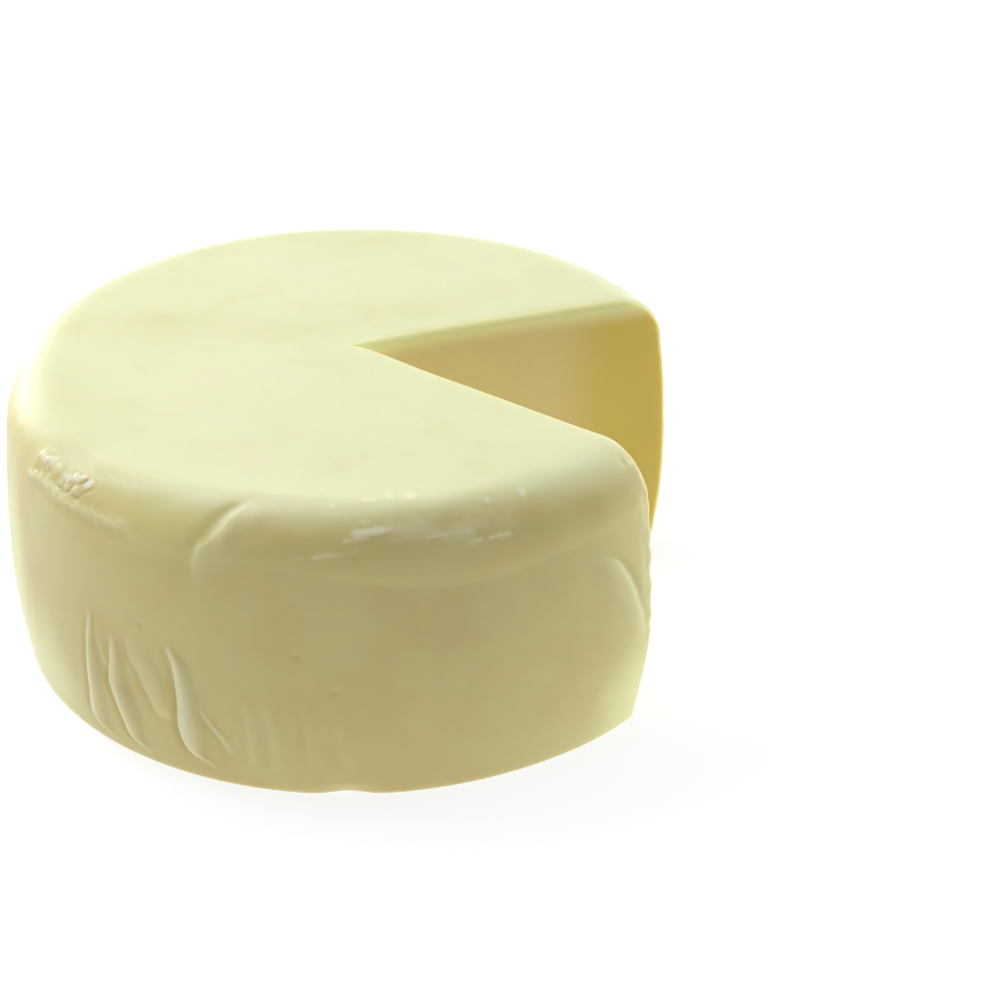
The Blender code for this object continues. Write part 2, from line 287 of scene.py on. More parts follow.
rim, near_cut, far_cut = (np.array(part) for part in split_ring(rings[-1]))
tip = (near_cut[0] + far_cut[0]) / 2.0
rim_reach, rim_turn = reach_and_turn(rim, tip)
far_reach, far_turn = reach_and_turn(far_cut, tip)
near_reach, near_turn = reach_and_turn(near_cut, tip)
near_turn = np.where(near_turn < math.pi, near_turn + 2.0 * math.pi, near_turn)     # past a full turn
share = (rim_turn - rim_turn[0]) / (rim_turn[-1] - rim_turn[0])
rim, near_cut, far_cut = split_ring(list(range(len(points) - columns, len(points))))
rows = []
for k in range(1, CUT_COLUMNS):
    angle = far_turn[k] + share * (near_turn[k] - far_turn[k])
    far_part, near_part = far_reach[k] / far_reach[-1], near_reach[k] / near_reach[-1]
    reach = rim_reach * (far_part + share * (near_part - far_part))
    row = tip + np.column_stack([reach * np.cos(angle), reach * np.sin(angle), np.zeros(len(rim))])
    inner = range(len(points), len(points) + len(rim) - 2)
    rows.append([far_cut[k], *inner, near_cut[k]])
    points = np.concatenate([points, row[1:-1]])
rows.append(rim)

middle = len(rim) // 2
for i in range(len(rim) - 1):
    faces.append([far_cut[0] if i < middle else near_cut[0], rows[0][i], rows[0][i + 1]])
faces.append([far_cut[0], rows[0][middle], near_cut[0]])
for inner, outer in zip(rows, rows[1:]):
    faces += [[inner[i], outer[i], outer[i + 1], inner[i + 1]] for i in range(len(rim) - 1)]

skin = bpy.data.meshes.new("cheese_skin")
skin.from_pydata(points.tolist(), [], faces)
skin.update()
normals = np.empty(len(points) * 3)
skin.vertex_normals.foreach_get("vector", normals)
normals = normals.reshape(-1, 3)

x, y, z = points.T
azimuth = np.degrees(np.arctan2(y, x))
radius = np.hypot(x, y)
outside = smooth_step(*MARKED_RADII, radius)
relief = np.zeros(len(points))


# The wheel's cloth folds
#
# Where the cheese cloth was gathered at the foot of the mould it left folds in the curd. Each is a
# small roll with a steep edge and a valley on one side, and it fades on the other. Its lit body is
# painted paler, as painted light, and the deep ones have painted shade in a crevice beside the edge.

# A fold is given along its height in mm: the azimuth of its steep edge, its width and its rise in mm.
# Then come where it starts to fade, as a share of its width, how deep its valley is in mm, how pale
# it is painted as painted light on its body, and, on the deep ones, how dark the painted shade in its
# crevice is and from and to which height it runs.
FOLDS = (
    {   # the first and thinnest
        "height": (4.4, 6.2, 9.5, 14.4, 20.4, 26.2, 31.8, 35.7, 41.0, 45.0),
        "edge": (-121.3, -123.9, -125.4, -125.1, -124.7, -124.5, -124.2, -124.0, -123.5, -123.2),
        "width": (3.6, 5.2, 7.2, 7.0, 6.2, 5.4, 4.4, 3.4, 2.4, 1.6),
        "rise": (0.2, 0.8, 1.2, 1.4, 1.3, 1.3, 1.1, 0.9, 0.5, 0.0),
        "fade": 0.35, "valley": 0.55, "pale": 0.75, "crevice_shade": (0.45, 13.0, 27.0),
    },
    {   # the second, deeply undercut
        "height": (5.2, 7.1, 9.3, 12.6, 16.1, 19.1, 22.0, 24.5, 28.4, 33.1, 36.9, 40.0),
        "edge": (
            -114.2, -116.2, -117.2, -117.5, -118.2, -118.8, -119.4, -119.7, -119.5, -119.1, -118.9, -118.8,
        ),
        "width": (4.0, 5.0, 5.6, 6.6, 7.6, 8.0, 8.0, 7.2, 6.6, 5.2, 3.4, 2.0),
        "rise": (0.2, 0.9, 1.5, 1.8, 1.8, 1.7, 1.5, 1.4, 1.1, 0.7, 0.4, 0.0),
        "fade": 0.4, "valley": 1.3, "pale": 0.75, "crevice_shade": (0.9, 9.0, 22.0),
    },
    {   # a fine line that runs into the second
        "height": (24.0, 25.5, 29.3, 33.5, 36.0),
        "edge": (-119.6, -119.8, -120.5, -121.3, -121.8),
        "width": (1.6, 1.6, 1.6, 1.4, 1.2),
        "rise": (0.0, 0.35, 0.4, 0.25, 0.0),
        "fade": 0.3, "valley": 0.25, "pale": 0.3,
    },
    {   # the broad soft bulge between the second and the last
        "height": (19.0, 21.0, 24.6, 26.8, 29.7, 32.1, 34.5, 38.0, 42.0),
        "edge": (-110.6, -111.0, -111.6, -112.6, -113.0, -113.5, -114.9, -115.2, -115.4),
        "width": (6.0, 7.0, 8.0, 9.5, 10.0, 10.0, 10.0, 9.0, 7.0),
        "rise": (0.0, 0.7, 0.8, 0.75, 0.65, 0.6, 0.5, 0.3, 0.0),
        "fade": 0.5, "valley": 0.4, "pale": 0.15,
    },
    {   # the last and thickest, with a lobe at its foot
        "height": (6.6, 8.8, 11.1, 14.8, 18.0, 22.0, 27.6, 32.9, 37.9, 41.2, 43.0),
        "edge": (-101.8, -104.6, -105.9, -106.6, -106.9, -106.8, -106.6, -106.8, -107.1, -107.8, -108.0),
        "width": (2.4, 3.8, 5.6, 7.2, 8.2, 7.8, 6.4, 5.8, 5.2, 3.4, 2.0),
        "rise": (0.2, 0.9, 1.5, 1.9, 2.0, 1.8, 1.5, 1.3, 1.0, 0.5, 0.0),
        "fade": 0.4, "valley": 0.9, "pale": 1.0,
    },
    {   # a fine line down the last one's right side
        "height": (12.0, 14.4, 17.5, 20.8, 24.1, 26.0),
        "edge": (-98.8, -99.2, -100.1, -101.6, -102.8, -103.2),
        "width": (3.0, 3.2, 3.2, 2.6, 2.0, 1.6),
        "rise": (0.0, 0.4, 0.5, 0.45, 0.3, 0.0),
        "fade": 0.2, "valley": 0.3, "pale": 0.3,
    },
    {   # faint ripples further right
        "height": (9.0, 12.0, 19.0, 25.0, 31.0), "edge": (-95.6, -95.7, -95.6, -95.6, -96.2),
        "width": (4.2, 4.6, 4.6, 4.4, 4.0), "rise": (0.0, 0.35, 0.45, 0.4, 0.0),
        "fade": 0.2, "valley": 0.2, "pale": 0.12,
    },
    {
        "height": (9.0, 12.6, 20.0, 24.0, 32.0), "edge": (-91.9, -91.9, -92.0, -92.3, -92.9),
        "width": (4.4, 4.8, 4.8, 4.6, 4.0), "rise": (0.0, 0.35, 0.45, 0.4, 0.0),
        "fade": 0.2, "valley": 0.25, "pale": 0.12,
    },
    {
        "height": (10.0, 16.0, 21.0, 26.0, 33.0), "edge": (-86.3, -86.3, -86.3, -86.6, -87.0),
        "width": (5.0, 5.4, 5.4, 5.0, 4.0), "rise": (0.0, 0.3, 0.35, 0.3, 0.0),
        "fade": 0.2, "valley": 0.25, "pale": 0.06,
    },
    {
        "height": (10.0, 15.0, 22.0, 29.0), "edge": (-81.2, -81.4, -81.8, -82.2),
        "width": (4.0, 5.0, 5.0, 4.0), "rise": (0.0, 0.25, 0.25, 0.0),
        "fade": 0.2, "valley": 0.15, "pale": 0.05,
    },
    {   # the lobe beside the near cut, steep on its right
        "height": (28.0, 34.8, 39.9, 46.8, 53.5, 59.2, 61.5, 63.5),
        "edge": (-30.4, -31.2, -32.0, -33.2, -34.8, -36.8, -38.8, -41.0),
        "width": (6.0, 9.0, 11.0, 13.0, 12.0, 10.0, 8.0, 6.0),
        "rise": (0.0, 0.4, 0.65, 0.8, 0.85, 0.75, 0.5, 0.0),
        "fade": 0.05, "valley": 0.5, "pale": 0.3, "mirrored": True, "softness": 1.8,
    },
)
FOLD_EDGE = 0.7 * MM        # half the width of a steep edge
VALLEY_PLACE = 1.1 * MM     # how far beside the edge a valley is deepest
VALLEY_WIDTH = 1.1 * MM
CREST_PLACE = 0.45          # where a roll is highest, as a share of its width
EDGE_HEIGHT = 0.6           # how high it is at its steep edge, as a share of its crest
CREVICE_PLACE = 0.9 * MM    # how far beside the edge the painted shade of a crevice lies
CREVICE_WIDTH = 0.45 * MM


def along_heights(fold, key):
    """A fold's value at every point's height."""
    return np.interp(z, np.array(fold["height"]) * MM, fold[key])


pale = np.zeros(len(points))
crevice_shade = np.zeros(len(points))
for fold in FOLDS:
    across = np.radians(turned(azimuth, along_heights(fold, "edge"))) * WALL_RADIUS
    if fold.get("mirrored"):
        across = -across
    share = across / (along_heights(fold, "width") * MM)
    rise = along_heights(fold, "rise") * MM
    strength = rise / max(fold["rise"]) / MM
    low, high = fold["height"][0] * MM, fold["height"][-1] * MM
    ends = window(low, high, 1.0 * MM, z) * outside
    half_edge = FOLD_EDGE * fold.get("softness", 1.0)
    roll = smooth_step(-half_edge, half_edge, across) * (1.0 - smooth_step(fold["fade"], 1.0, share))
    crown = EDGE_HEIGHT + (1.0 - EDGE_HEIGHT) * smooth_step(0.0, CREST_PLACE, share)
    valley = fold["valley"] * MM * strength * bell((across + VALLEY_PLACE) / VALLEY_WIDTH)
    relief += (rise * roll * crown - valley) * ends
    # painted light: the lit body of the roll is painted paler
    pale = np.maximum(pale, fold["pale"] * np.sqrt(strength) * roll * ends)
    # painted shade: a dark line is painted in the crevice beside a deep fold's edge
    if "crevice_shade" in fold:
        darkness, bottom, top = fold["crevice_shade"]
        length = window(bottom * MM, top * MM, 3.0 * MM, z) * outside
        crevice_shade = np.maximum(crevice_shade, darkness * length * bell((across + CREVICE_PLACE) / CREVICE_WIDTH))


# The wheel's crease and lip
#
# The cloth's overlap pressed a flat slant into the left shoulder. A thin lip of curd runs under it,
# and it ends at the front in a diagonal crease.

CREASE = {
    "height": (64.0, 67.9, 70.2, 72.5, 75.8, 78.7, 80.5, 82.8, 84.0, 85.4),
    "edge": (-103.0, -102.8, -102.7, -102.5, -101.1, -99.6, -98.8, -97.2, -96.0, -95.0),
    "rise": (0.0, 0.2, 0.35, 0.5, 0.6, 0.65, 0.65, 0.6, 0.5, 0.35),
    "width": (5.0, 6.0, 7.0, 8.0, 9.0, 9.5, 9.5, 9.0, 8.0, 8.0),
}
CREASE_START = 66.0 * MM
CREASE_FADE = 3.0 * MM
CREASE_EDGE = 1.5 * MM      # half the width of its steep side
CREASE_WANDER = 0.7 * MM    # how far that side wanders
CREASE_VALLEY = 0.55 * MM
CREASE_VALLEY_PLACE = 2.2 * MM
CREASE_VALLEY_WIDTH = 2.6 * MM
CREASE_PAINTED_LIGHT = 0.45
TOP_CALM = (2.0 * MM, 0.3 * MM)     # the crease fades out between these depths below the top
FLECK_HEIGHTS = (72.0 * MM, 82.5 * MM, 2.0 * MM)    # from, to and soft ends of its broken, paler edge
FLECK_PLACE = 0.6 * MM
FLECK_WIDTH = 0.8 * MM
FLECK_PALE = 0.7
LIP_AZIMUTHS = (-139.0, -136.3, -133.8, -131.4, -128.3, -125.4, -122.8, -120.1, -117.3, -114.4, -112.3)
LIP_HEIGHTS = (73.6, 74.7, 75.1, 74.9, 74.6, 74.7, 75.1, 75.1, 75.4, 75.3, 75.1)
LIP_ENDS = (-137.5, -115.0, 4.0)    # from, to and soft ends
LIP_RISE = 0.5 * MM
LIP_HALF_WIDTH = 0.85 * MM
LIP_WANDER = 0.35 * MM
LIP_PAINTED_LIGHT = 0.6
FURROWS = (                 # ends of each, then its depth, its height over the lip and half its width
    (LIP_ENDS, 0.45 * MM, -2.6 * MM, 1.5 * MM),
    ((-137.0, -129.0, 2.0), 0.4 * MM, 2.4 * MM, 1.1 * MM),
)
SHELF_RISE = 0.3 * MM       # how far the skin over the lip stands out
SHELF_HEIGHT = 6.0 * MM
SHELF_FADE = 3.0 * MM
UNEVEN_WAVES = 14           # how many waves add up to an unevenness


def uneven(places, size, seed):
    """Smooth random height of about -1 to 1, with swells of about this size."""
    random = np.random.default_rng(seed)
    total = np.zeros(len(places))
    for _ in range(UNEVEN_WAVES):
        heading = random.normal(size=3)
        heading /= np.linalg.norm(heading)
        turns = places @ heading / (size * random.uniform(0.75, 1.4))
        total += np.sin(2.0 * math.pi * (turns + random.uniform()))
    return total / math.sqrt(UNEVEN_WAVES)


across = np.radians(turned(azimuth, along_heights(CREASE, "edge"))) * WALL_RADIUS
width = along_heights(CREASE, "width") * MM
rise = along_heights(CREASE, "rise") * MM
strength = rise / max(CREASE["rise"]) / MM
ends = window(CREASE_START, HEIGHT, CREASE_FADE, z) * outside
ends *= 1.0 - smooth_step(HEIGHT - TOP_CALM[0], HEIGHT - TOP_CALM[1], z)
valley = CREASE_VALLEY * strength * bell((across + CREASE_VALLEY_PLACE) / CREASE_VALLEY_WIDTH)
ragged = across + CREASE_WANDER * uneven(points, 3.4 * MM, 23)
roll = smooth_step(-CREASE_EDGE, CREASE_EDGE, ragged) * bell(np.maximum(across, 0.0) / width)
lumpy = 0.85 + 0.3 * uneven(points, 6.0 * MM, 53)
relief += (rise * roll * lumpy - valley) * ends
flecks = bell((ragged - FLECK_PLACE) / FLECK_WIDTH) * smooth_step(-0.2, 1.0, uneven(points, 2.4 * MM, 47))
flecks *= ends * window(*FLECK_HEIGHTS, z)
pale = np.maximum(pale, FLECK_PALE * flecks)
# painted light: the crease's raised side is painted paler, as it faces up into the light
pale = np.maximum(pale, CREASE_PAINTED_LIGHT * strength * roll * ends)

lip_height = np.interp(azimuth, LIP_AZIMUTHS, LIP_HEIGHTS) * MM
above = z - lip_height + LIP_WANDER * uneven(points, 4.0 * MM, 29)
lip_ends = window(*LIP_ENDS, azimuth) * outside
lip = lip_ends * bell(above / LIP_HALF_WIDTH)
relief += LIP_RISE * lip + SHELF_RISE * lip_ends * window(0.0, SHELF_HEIGHT, SHELF_FADE, above)
# painted light: the lip is painted paler, as the light that its ledge catches
pale = np.maximum(pale, LIP_PAINTED_LIGHT * lip)
for furrow_ends, depth, over_lip, half_width in FURROWS:
    relief -= depth * window(*furrow_ends, azimuth) * outside * bell((above - over_lip) / half_width)


# The wheel's torn patch
#
# On the left shoulder the cloth stuck and tore the skin: a small rough patch with wet, broken flakes,
# fine cracks between them, and a shallow dent above. The flakes are glossy and also painted whitish,
# as painted highlights, and the cracks are painted dark, as painted shade.

PATCH_AZIMUTH = -129.0
PATCH_HEIGHT = 79.2 * MM
PATCH_HALF_LENGTH = 15.0 * MM
PATCH_HALF_HEIGHT = 3.2 * MM
PATCH_ROUGHNESS = 0.15 * MM
PATCH_PALE = 0.5
FLAKE_RISE = 0.33 * MM
FLAKES = (                  # azimuth, height, half length, half height in mm and wetness of each flake, which sets its gloss and its painted highlight
    (-136.4, 79.7, 3.2, 0.9, 0.6), (-133.6, 80.1, 2.6, 1.0, 0.65), (-131.8, 79.6, 1.3, 0.9, 0.5),
    (-128.6, 79.3, 1.8, 1.0, 0.7), (-126.7, 80.3, 1.9, 0.9, 0.85), (-125.3, 80.8, 1.1, 0.7, 0.8),
    (-123.6, 80.1, 1.9, 1.0, 1.0), (-128.0, 77.7, 1.2, 0.6, 0.3), (-125.7, 77.9, 1.3, 0.8, 0.35),
    (-129.8, 77.5, 1.0, 0.5, 0.3), (-121.6, 75.9, 0.8, 0.5, 0.3),
)
CRACKS = (                  # runs of (azimuth, height in mm)
    ((-125.3, 79.6), (-124.9, 79.9), (-124.6, 80.4), (-124.1, 80.8)),
    (
        (-122.8, 79.4), (-123.5, 79.1), (-124.0, 78.7), (-124.1, 77.7), (-124.4, 76.7), (-125.4, 76.8),
        (-126.2, 77.0),
    ),
    ((-130.1, 76.6), (-128.8, 76.2), (-127.3, 76.7), (-126.8, 77.8), (-126.9, 78.9)),
    ((-122.0, 76.4), (-121.3, 75.6)),
)
CRACK_DEPTH = 0.35 * MM
CRACK_HALF_WIDTH = 0.32 * MM
CRACK_SHADE = 0.65
DENT_AZIMUTH = math.radians(-129.3)
DENT_RADIUS = 93.6 * MM
DENT_SIZE = 6.5 * MM
DENT_DEPTH = 0.9 * MM


def distance_to_run(run):
    """Distance on the unrolled side from every point to a broken line."""
    flat = np.column_stack([np.radians(azimuth) * WALL_RADIUS, z])
    nearest = np.full(len(points), 1.0)
    corners = [np.array([math.radians(a) * WALL_RADIUS, h * MM]) for a, h in run]
    for start, stop in zip(corners, corners[1:]):
        leg = stop - start
        share = np.clip((flat - start) @ leg / (leg @ leg), 0.0, 1.0)
        nearest = np.minimum(nearest, np.linalg.norm(flat - start - share[:, None] * leg, axis=1))
    return nearest


sideways = np.radians(turned(azimuth, PATCH_AZIMUTH)) * WALL_RADIUS
torn = bell(sideways / PATCH_HALF_LENGTH) * bell((z - PATCH_HEIGHT) / PATCH_HALF_HEIGHT) * outside
torn = smooth_step(0.25, 0.75, torn + 0.1 * uneven(points, 4.0 * MM, 31))
roughened = np.abs(uneven(points, 2.6 * MM, 3)) - 0.5 + 0.5 * np.abs(uneven(points, 1.5 * MM, 37))
relief += torn * PATCH_ROUGHNESS * roughened
wet_and_glint = np.zeros(len(points))
for flake_azimuth, flake_height, half_length, half_height, wetness in FLAKES:
    beside = np.radians(turned(azimuth, flake_azimuth)) * WALL_RADIUS / (half_length * MM)
    over = (z - flake_height * MM) / (half_height * MM)
    spread = np.sqrt(beside**2 + over**2) + 0.25 * uneven(points, 2.2 * MM, 5)
    flake = 1.0 - smooth_step(0.55, 1.2, spread)
    relief += FLAKE_RISE * flake * outside
    wet_and_glint = np.maximum(wet_and_glint, wetness * flake * outside)
crack_and_shade = np.zeros(len(points))
for run in CRACKS:
    crack_and_shade = np.maximum(crack_and_shade, bell(distance_to_run(run) / CRACK_HALF_WIDTH) * outside)
relief -= CRACK_DEPTH * crack_and_shade
wet_and_glint *= 1.0 - crack_and_shade
# painted shade: the cracks and the folds' crevices are painted dark
crack_and_shade = np.maximum(CRACK_SHADE * crack_and_shade, crevice_shade)
pale = np.maximum(pale, PATCH_PALE * torn * smooth_step(-0.3, 0.6, uneven(points, 2.0 * MM, 41)))
pale *= 1.0 - crack_and_shade

dent_x = DENT_RADIUS * math.cos(DENT_AZIMUTH)
dent_y = DENT_RADIUS * math.sin(DENT_AZIMUTH)
relief -= DENT_DEPTH * bell(np.hypot(x - dent_x, y - dent_y) / DENT_SIZE) * smooth_step(0.85, 1.0, z / HEIGHT)


# The wheel's smears
#
# Along the front shoulder whey has dried in thin, slightly raised, glossy smears. Their whitish colour,
# and that of the drops along the top's edge, is a painted highlight: the sheen that they catch.

SMEARS = (                  # runs of (azimuth, height in mm), half the width in mm and the strength
    (((-80.0, 78.4), (-79.3, 78.6), (-78.6, 78.9)), 0.45, 0.8),
    (((-78.3, 79.4), (-77.1, 79.9)), 1.2, 1.0),
    (((-76.6, 79.9), (-75.7, 80.0), (-74.4, 80.2), (-73.0, 80.5)), 0.75, 1.0),
    (((-72.6, 80.0), (-69.5, 79.9), (-66.6, 79.1), (-63.7, 78.3), (-60.9, 78.0)), 2.2, 0.45),
    (((-67.8, 77.9), (-65.6, 77.7), (-63.3, 77.7), (-60.8, 78.0)), 0.55, 0.8),
    (((-61.6, 75.3), (-60.5, 75.3), (-59.2, 75.3)), 0.5, 0.75),
    (((-57.8, 75.4), (-56.3, 75.5), (-54.6, 75.5)), 0.5, 0.75),
    (((-59.1, 79.5), (-56.7, 78.8), (-54.5, 78.4)), 1.8, 0.3),
    (((-84.6, 74.6), (-83.5, 74.7), (-82.2, 75.2)), 0.5, 0.7),
    (((-82.2, 75.2), (-80.3, 75.6), (-78.3, 76.0)), 0.5, 0.45),
    (((-87.8, 74.4), (-86.3, 74.6)), 0.45, 0.4),
)
RIM_SPOTS = (               # azimuth, radius and size in mm of the drops dried along the top's edge, painted bright as highlights
    (-82.0, 91.1, 0.6), (-76.7, 89.4, 0.8), (-75.3, 89.4, 0.6), (-72.7, 88.8, 0.7), (-69.3, 89.2, 1.2),
    (-57.0, 93.1, 0.6), (-50.8, 93.2, 0.9),
)
SMEAR_RISE = 0.3 * MM
SMEAR_DRAWN = 4.0           # how much longer than high its ragged edges are

smear_and_highlight = np.zeros(len(points))
combed = np.column_stack([np.radians(azimuth) * WALL_RADIUS / SMEAR_DRAWN, np.zeros(len(points)), z])
ragged = 1.0 + 0.45 * uneven(combed, 1.6 * MM, 11)
for run, half_width, share in SMEARS:
    smear_and_highlight = np.maximum(smear_and_highlight, share * bell(distance_to_run(run) / (half_width * MM * ragged)))
smear_and_highlight *= outside
for spot_azimuth, spot_radius, spot_size in RIM_SPOTS:
    spot_turn = math.radians(spot_azimuth)
    away = np.hypot(x - spot_radius * MM * math.cos(spot_turn), y - spot_radius * MM * math.sin(spot_turn))
    smear_and_highlight = np.maximum(smear_and_highlight, bell(away / (spot_size * MM)))
relief += SMEAR_RISE * smear_and_highlight


# The wheel's unevenness
#
# Nothing on a hand-pressed wheel is flat: the side and the top swell by a few tenths of a millimetre,
# and a few gas holes have burst at the surface. The knife dragged crumbs along the corner of the near
# cut, and the foot is chipped at the front.

WAVE_RISE = 0.17 * MM       # long waves round the side and up it
SWELL_RISE = 0.10 * MM
SWELL_SIZE = 34.0 * MM
RIPPLE_RISE = 0.035 * MM
RIPPLE_SIZE = 9.0 * MM
HOLES = (                   # where, azimuth, radius or height, half width and depth, in mm
    ("top", 92.6, 20.1, 0.7, 0.5), ("top", 75.3, 57.1, 0.6, 0.4), ("top", 74.7, 72.6, 0.5, 0.4),
    ("top", 51.8, 71.8, 0.6, 0.4), ("top", 36.8, 63.6, 0.5, 0.4), ("top", -56.0, 50.2, 0.7, 0.5),
    ("top", -68.5, 79.0, 0.8, 0.5), ("top", 109.3, 74.9, 0.6, 0.4), ("top", -152.0, 66.4, 0.7, 0.4),
    ("top", -38.9, 62.7, 0.7, 0.4), ("top", -44.4, 57.3, 0.6, 0.4),
    ("side", -112.3, 46.9, 0.8, 0.5), ("side", -130.3, 34.1, 0.6, 0.4), ("side", -87.3, 46.1, 0.8, 0.5),
    ("side", -105.0, 25.3, 0.7, 0.5), ("side", -27.9, 55.4, 0.9, 0.6), ("side", -29.6, 82.4, 0.7, 0.5),
    ("side", -31.3, 82.3, 0.6, 0.4), ("side", -82.0, 36.0, 1.0, 0.4), ("side", 150.0, 40.0, 0.8, 0.5),
    ("side", 96.0, 58.0, 0.8, 0.5),
)
LUMP_AZIMUTH = -29.6
LUMP_SPREAD = 2.2
LUMP_HEIGHTS = (34.0 * MM, 72.0 * MM, 5.0 * MM)     # from, to and soft ends
LUMP_RISE = 0.2 * MM
LUMP_PALE = 0.45
CHIP_AZIMUTH = -80.6
CHIP_HALF_LENGTH = 6.0 * MM
CHIP_HEIGHT = 5.0 * MM
CHIP_DEPTH = 1.9 * MM
RELIEF_START = 4.0 * MM     # the relief grows from nothing at the base to all of it here

turn = np.radians(azimuth)
wave = np.sin(3.0 * turn + 0.7) + 0.8 * np.sin(5.0 * turn + 40.0 * z) + 0.6 * np.sin(90.0 * z)
relief += WAVE_RISE * wave * outside
relief += SWELL_RISE * uneven(points, SWELL_SIZE, 17)
relief += RIPPLE_RISE * uneven(points, RIPPLE_SIZE, 19) * outside
for surface, hole_azimuth, distance, half_width, depth in HOLES:
    hole_turn = math.radians(hole_azimuth)
    if surface == "top":
        away = np.hypot(x - distance * MM * math.cos(hole_turn), y - distance * MM * math.sin(hole_turn))
        away = away + (HEIGHT - z)
    else:
        away = np.hypot(np.radians(turned(azimuth, hole_azimuth)) * WALL_RADIUS, z - distance * MM)
    relief -= depth * MM * bell(away / (half_width * MM))

lumps = bell(turned(azimuth, LUMP_AZIMUTH) / LUMP_SPREAD) * window(*LUMP_HEIGHTS, z) * outside
relief += LUMP_RISE * lumps * uneven(points, 4.0 * MM, 43)
pale = np.maximum(pale, LUMP_PALE * lumps)
relief *= smooth_step(0.0, RELIEF_START, z)
chip = bell(np.radians(turned(azimuth, CHIP_AZIMUTH)) * WALL_RADIUS / CHIP_HALF_LENGTH)
chip *= (1.0 - smooth_step(0.0, CHIP_HEIGHT, z)) * outside
outward = np.column_stack([x / radius, y / radius, np.zeros(len(points))])
points = points + normals * relief[:, None] - outward * (CHIP_DEPTH * chip)[:, None]
skin.vertices.foreach_set("co", (points + [AXIS_X, 0.0, 0.0]).ravel())
skin.update()
skin.shade_smooth()


# The wheel's painted light and shade, and its stains
#
# The cut faces are painted yellower towards the rim, as painted shade. The front of the side is painted
# tan as painted shade, while its foot, its slant and the rest of the side are painted paler, as
# painted light. The top has faint olive stains.

NOTCH_SHADE_FROM = (60.0 * MM, 84.0 * MM)        # the distances from the tip between which a cut turns to its painted yellow shade
PAINTED_SHADE_SPANS = (               # azimuths from, to and soft ends, and the heights between which it is all painted shade
    (-124.0, -43.0, 12.0, 12.0 * MM, 40.0 * MM),
    (-140.0, -33.0, 9.0, 42.0 * MM, 80.0 * MM),
)
# painted light: the slant is painted paler where it faces up into the light
PAINTED_LIGHT_SLANT = (-118.0, -104.0, 6.0)
PAINTED_LIGHT_SLANT_HEIGHTS = (72.0 * MM, HEIGHT, 5.0 * MM)
PAINTED_LIGHT_SLANT_SHARE = 0.28
OLIVE_STAINS = (            # azimuth, radius, half length and half width in mm, heading of its length
    (172.0, 60.0, 26.0, 15.0, 20.0), (160.0, 25.0, 22.0, 7.0, 12.0), (68.0, 34.0, 16.0, 8.0, 10.0),
    (-152.0, 84.0, 20.0, 12.0, -60.0), (35.0, 62.0, 12.0, 6.0, 20.0), (100.0, 80.0, 18.0, 9.0, 0.0),
)

corner_ramp = np.linspace(0.0, 1.0, CORNER_COLUMNS + 2)
cut_share = np.ones(columns)
cut_share[: -2 * CUT_COLUMNS] = 0.0
cut_share[: CORNER_COLUMNS + 2] = corner_ramp[::-1]
cut_share[-2 * CUT_COLUMNS - CORNER_COLUMNS - 2 : -2 * CUT_COLUMNS] = corner_ramp
cut_face = np.zeros(len(points))
cut_face[: len(rings) * columns] = np.tile(cut_share, len(rings))
cut_face = smooth_step(0.1, 1.0, cut_face)
# painted shade: the cut faces' outer ends are painted deeper yellow, as shade with the yellow of light
# bounced off cheese
notch_shade = cut_face * smooth_step(*NOTCH_SHADE_FROM, np.hypot(x - TIP_X, y - TIP_Y))
# painted light on the lower side away from the front, for the light from the floor and the low lamps, and on
# the slant; the front keeps the painted shade
painted_light = PAINTED_LIGHT_SLANT_SHARE * window(*PAINTED_LIGHT_SLANT, azimuth) * window(*PAINTED_LIGHT_SLANT_HEIGHTS, z)
for first, last, soft, low, high in PAINTED_SHADE_SPANS:
    shaded = window(first, last, soft, azimuth) + smooth_step(low, high, z)
    painted_light = np.maximum(painted_light, 1.0 - np.minimum(shaded, 1.0))
painted_light *= outside
stain = np.zeros(len(points))
for stain_azimuth, stain_radius, half_length, half_width, stain_heading in OLIVE_STAINS:
    stain_turn = math.radians(stain_azimuth)
    away_x = x - stain_radius * MM * math.cos(stain_turn)
    away_y = y - stain_radius * MM * math.sin(stain_turn)
    lean = math.radians(stain_heading)
    lengthwise = (away_x * math.cos(lean) + away_y * math.sin(lean)) / (half_length * MM)
    crosswise = (away_y * math.cos(lean) - away_x * math.sin(lean)) / (half_width * MM)
    stain = np.maximum(stain, bell(np.hypot(lengthwise, crosswise)))

marks = {
    "cut_face": cut_face, "notch_shade": notch_shade, "stain": stain, "wet_and_glint": wet_and_glint, "smear_and_highlight": smear_and_highlight,
    "torn": torn, "crack_and_shade": crack_and_shade, "pale": pale, "painted_light": painted_light,
}
for name, values in marks.items():
    skin.attributes.new(name, "FLOAT", "POINT").data.foreach_set("value", values)


# The wheel's cheese
#
# A moist young cheese: cream on top and tan on its side, where the tan is painted shade, more at the
# front; painted paler round its foot elsewhere and on its slant, as painted light; and yellower where
# it is cut, with painted shade towards the rim and a painted glow along the cuts' top edges. Painted
# highlights whiten its smears and wet flakes, its folds, lip and crease are painted paler as painted
# light, and its cracks and crevices are painted dark as painted shade. Light goes some millimetres
# into it, and its skin has a soft satin shine.


class Socket:
    """An output of a node. Python's operators on it add Math nodes to its material."""

    def __init__(self, finish, output):
        self.finish = finish
        self.output = output

    def combined(self, operation, *terms):
        return self.finish.node("ShaderNodeMath", {"operation": operation}, dict(enumerate(terms)))

    def __add__(self, other):
        return self.combined("ADD", self, other)

    def __sub__(self, other):
        return self.combined("SUBTRACT", self, other)

    def __rsub__(self, other):
        return self.combined("SUBTRACT", other, self)

    def __mul__(self, other):
        return self.combined("MULTIPLY", self, other)

    __radd__ = __add__
    __rmul__ = __mul__


